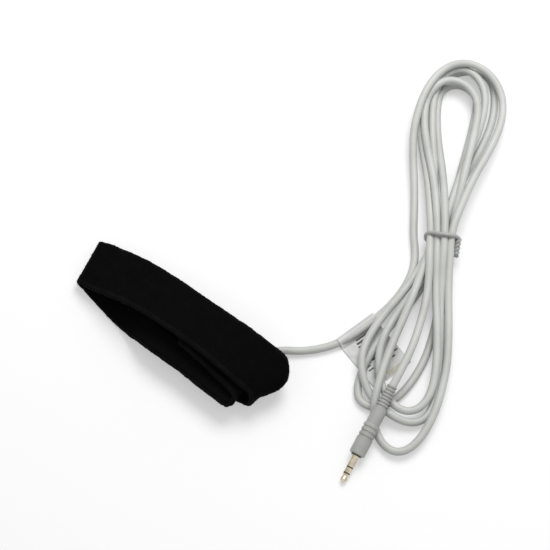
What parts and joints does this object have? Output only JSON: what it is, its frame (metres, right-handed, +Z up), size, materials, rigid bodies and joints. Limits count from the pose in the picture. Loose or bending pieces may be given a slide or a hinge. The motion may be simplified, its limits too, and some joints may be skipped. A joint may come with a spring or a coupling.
{
  "type": "esd_wrist_strap",
  "caption": "Anti-static wrist strap: a black hook-and-loop band on a coaxial snap head, a light grey cord in a tied hank and a 2.5 mm three-pole jack plug",
  "frame": {"origin": "on the bench, under the middle of the band and head", "axes": "+X along the flattened band towards the fold over the snap, +Y across the band, +Z up"},
  "size_m": [0.1449, 0.1757, 0.0174],
  "materials": {
    "pile_fabric": "black looped pile, soft fuzzy nap",
    "conductive_knit": "dark grey knit with a faint silver yarn",
    "hook_tape": "black nylon hook tape",
    "head_plastic": "black moulded plastic, fine grain",
    "insulating_plastic": "black insulating plastic",
    "snap_metal": "nickel-plated brass",
    "spring_steel": "spring steel wire",
    "resistor_body": "pale blue resistor lacquer",
    "cord_jacket": "light warm grey soft PVC",
    "plug_moulding": "grey moulded PVC",
    "tie_plastic": "grey plastic-covered wire",
    "label_film": "white label film, satin",
    "jack_plating": "bright nickel plating",
    "jack_insulation": "black insulating band"
  },
  "bodies": {
    "main": {"head_base": "head_plastic", "head_cover": "head_plastic", "socket_cup": "snap_metal", "contact_insulator": "insulating_plastic", "centre_contact": "snap_metal", "resistor_front": "resistor_body", "resistor_rear": "resistor_body", "head_boot": "head_plastic", "cord_lead": "cord_jacket", "cord_hank": "cord_jacket", "cord_tail": "cord_jacket", "hank_tie": "tie_plastic", "flag_label": "label_film", "plug_relief": "plug_moulding", "plug_grip": "plug_moulding", "plug_collar": "jack_insulation", "sleeve_contact": "jack_plating", "insulator_ring_rear": "jack_insulation", "ring_contact": "jack_plating", "insulator_ring_front": "jack_insulation", "tip_contact": "jack_plating", "sleeve_lug": "snap_metal", "ring_lug": "snap_metal"},
    "grip_ring": {"spring_ring": "spring_steel"},
    "strap": {"outer_fabric": "pile_fabric", "lining_front": "conductive_knit", "lining_rear": "conductive_knit", "hook_patch": "hook_tape", "ring_stud": "snap_metal", "stud_insulator": "insulating_plastic", "centre_pin": "snap_metal", "stud_backing_disc": "insulating_plastic", "lining_tab_front": "snap_metal", "lining_tab_rear": "snap_metal"}
  },
  "joints": [
    {"name": "strap_swivel", "type": "hinge", "parent": "main", "child": "grip_ring", "pos_m": [0.017, -0.002, 0], "axis": [0, 0, 1], "range_deg": [-90, 150]},
    {"name": "snap_release", "type": "slide", "parent": "grip_ring", "child": "strap", "axis": [0, 0, 1], "range_m": [0, 0.004]}
  ]
}
